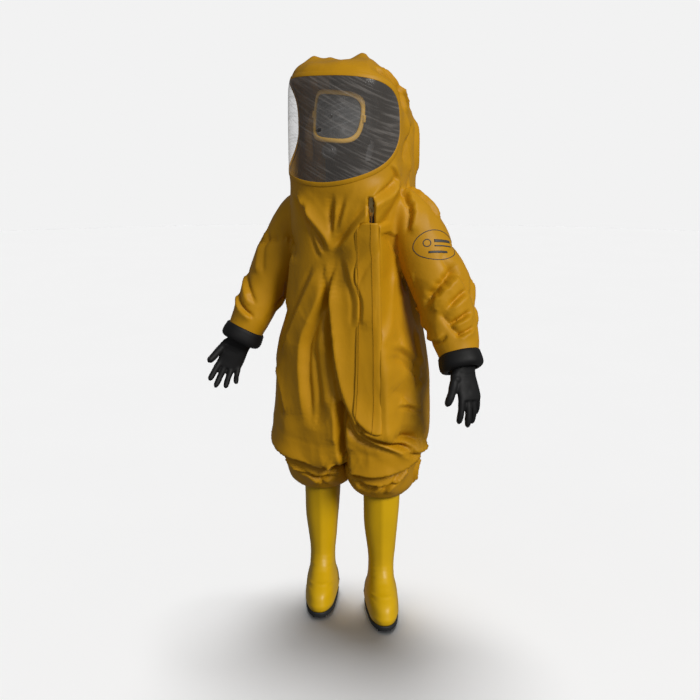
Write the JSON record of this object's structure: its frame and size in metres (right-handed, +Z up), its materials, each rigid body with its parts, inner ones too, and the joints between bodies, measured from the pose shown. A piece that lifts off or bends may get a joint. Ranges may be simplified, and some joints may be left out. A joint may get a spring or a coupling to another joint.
{
  "type": "chemical protective suit",
  "caption": "Baggy one-piece gas-tight suit with hood, wrap-round visor, breathing mask inside, zip under a flap, rubber gloves on cuff rings and safety boots, in its worn shape.",
  "frame": {"origin": "on the surface it stands on, under the middle of the whole object's box", "axes": "+Z up, -Y the way the hood's visor looks, +X the wearer's left"},
  "size_m": [0.961, 0.4876, 1.83],
  "materials": {
    "coated_fabric": "satin coated cloth",
    "seam_trim": "satin",
    "visor_sheet": "clear flexible sheet",
    "glove_rubber": "matte",
    "boot_upper": "satin moulded",
    "boot_sole": "matte moulded",
    "ring_plastic": "moulded",
    "zip_tape": "woven",
    "zip_metal": "satin",
    "mask_rubber": "matte moulded",
    "mask_frame": "moulded",
    "mask_lens": "clear",
    "webbing": "woven",
    "steel": "satin",
    "lining": "felted",
    "valve_black": "moulded"
  },
  "bodies": {
    "torso": {"torso_front_panel": "coated_fabric", "torso_back_panel": "coated_fabric", "crotch_gusset": "coated_fabric", "hood_shell": "coated_fabric", "visor": "visor_sheet", "visor_seal": "seam_trim", "zip_tape_inner": "zip_tape", "zip_tape_outer": "zip_tape", "zip_stop_top": "zip_metal", "zip_stop_bottom": "zip_metal", "flap_loop_strip": "webbing", "valve_seat_left": "valve_black", "valve_seat_right": "valve_black", "valve_cap_left": "valve_black", "valve_cap_right": "valve_black", "leg_upper_left": "coated_fabric", "leg_upper_right": "coated_fabric"},
    "mask": {"mask_lens": "mask_lens", "mask_frame": "mask_frame", "mask_face_piece": "mask_rubber", "mask_chin_block": "mask_rubber", "mask_valve_housing": "valve_black", "mask_speech_disc": "steel", "head_harness": "webbing", "harness_crown_strap": "webbing"},
    "storm_flap": {"storm_flap": "coated_fabric", "flap_hook_strip": "webbing"},
    "zip_slider": {"zip_slider": "zip_metal"},
    "zip_pull": {"zip_pull": "zip_metal"},
    "upper_arm_left": {"sleeve_upper_left": "coated_fabric"},
    "forearm_left": {"sleeve_lower_left": "coated_fabric", "cuff_ring_left": "ring_plastic"},
    "hand_left": {"cuff_band_left": "glove_rubber", "glove_left": "glove_rubber"},
    "shin_left": {"leg_hem_left": "coated_fabric", "boot_upper_left": "boot_upper", "boot_sole_left": "boot_sole", "boot_toe_cap_left": "steel", "boot_insole_left": "lining"},
    "valve_disc_left": {"valve_disc_left": "glove_rubber"},
    "upper_arm_right": {"sleeve_upper_right": "coated_fabric"},
    "forearm_right": {"sleeve_lower_right": "coated_fabric", "cuff_ring_right": "ring_plastic"},
    "hand_right": {"cuff_band_right": "glove_rubber", "glove_right": "glove_rubber"},
    "shin_right": {"leg_hem_right": "coated_fabric", "boot_upper_right": "boot_upper", "boot_sole_right": "boot_sole", "boot_toe_cap_right": "steel", "boot_insole_right": "lining"},
    "valve_disc_right": {"valve_disc_right": "glove_rubber"}
  },
  "joints": [
    {"name": "shoulder_left", "type": "hinge", "parent": "torso", "child": "upper_arm_left", "pos_m": [0.184, -0.044, 1.35], "axis": [0, -1, 0], "range_deg": [-5, 50]},
    {"name": "elbow_left", "type": "hinge", "parent": "upper_arm_left", "child": "forearm_left", "pos_m": [0.31645, -0.06491, 1.11105], "axis": [-1, 0, 0], "range_deg": [-10, 70]},
    {"name": "glove_turn_left", "type": "hinge", "parent": "forearm_left", "child": "hand_left", "pos_m": [0.39529, -0.1362, 0.92532], "axis": [-0.3684, 0.3332, 0.8679], "range_deg": [-45, 45]},
    {"name": "knee_left", "type": "hinge", "parent": "torso", "child": "shin_left", "pos_m": [0.106, -0.048, 0.492], "axis": [0.8988, 0.4384, 0], "range_deg": [0, 45]},
    {"name": "exhaust_valve_left", "type": "slide", "parent": "torso", "child": "valve_disc_left", "axis": [0.5961, 0.8029, 0], "range_m": [0, 0.002], "stiffness_N_per_m": 50, "springref_m": -0.003},
    {"name": "shoulder_right", "type": "hinge", "parent": "torso", "child": "upper_arm_right", "pos_m": [-0.196, -0.044, 1.35], "axis": [0, 1, 0], "range_deg": [-5, 50]},
    {"name": "elbow_right", "type": "hinge", "parent": "upper_arm_right", "child": "forearm_right", "pos_m": [-0.3091, -0.044, 1.11811], "axis": [-1, 0, 0], "range_deg": [-10, 70]},
    {"name": "glove_turn_right", "type": "hinge", "parent": "forearm_right", "child": "hand_right", "pos_m": [-0.37837, -0.10264, 0.93765], "axis": [0.3429, 0.2903, 0.8934], "range_deg": [-45, 45]},
    {"name": "knee_right", "type": "hinge", "parent": "torso", "child": "shin_right", "pos_m": [-0.114, -0.044, 0.492], "axis": [0.9397, 0.342, 0], "range_deg": [0, 45]},
    {"name": "exhaust_valve_right", "type": "slide", "parent": "torso", "child": "valve_disc_right", "axis": [-0.5961, 0.8029, 0], "range_m": [0, 0.002], "stiffness_N_per_m": 50, "springref_m": -0.003},
    {"name": "mask_turn", "type": "hinge", "parent": "torso", "child": "mask", "pos_m": [-0.0047, -0.0386, 1.7], "axis": [0, 0, 1], "range_deg": [-30, 30]},
    {"name": "storm_flap_hinge", "type": "hinge", "parent": "torso", "child": "storm_flap", "pos_m": [0.1732, -0.2, 0.684], "axis": [-0.0309, 0, 0.9995], "range_deg": [0, 140]},
    {"name": "zip_slide", "type": "slide", "parent": "torso", "child": "zip_slider", "axis": [0, 0, -1], "range_m": [0, 0.66]},
    {"name": "zip_pull_swing", "type": "hinge", "parent": "zip_slider", "child": "zip_pull", "pos_m": [0.13, -0.21356, 1.3738], "axis": [1, 0, 0], "range_deg": [0, 120]}
  ]
}
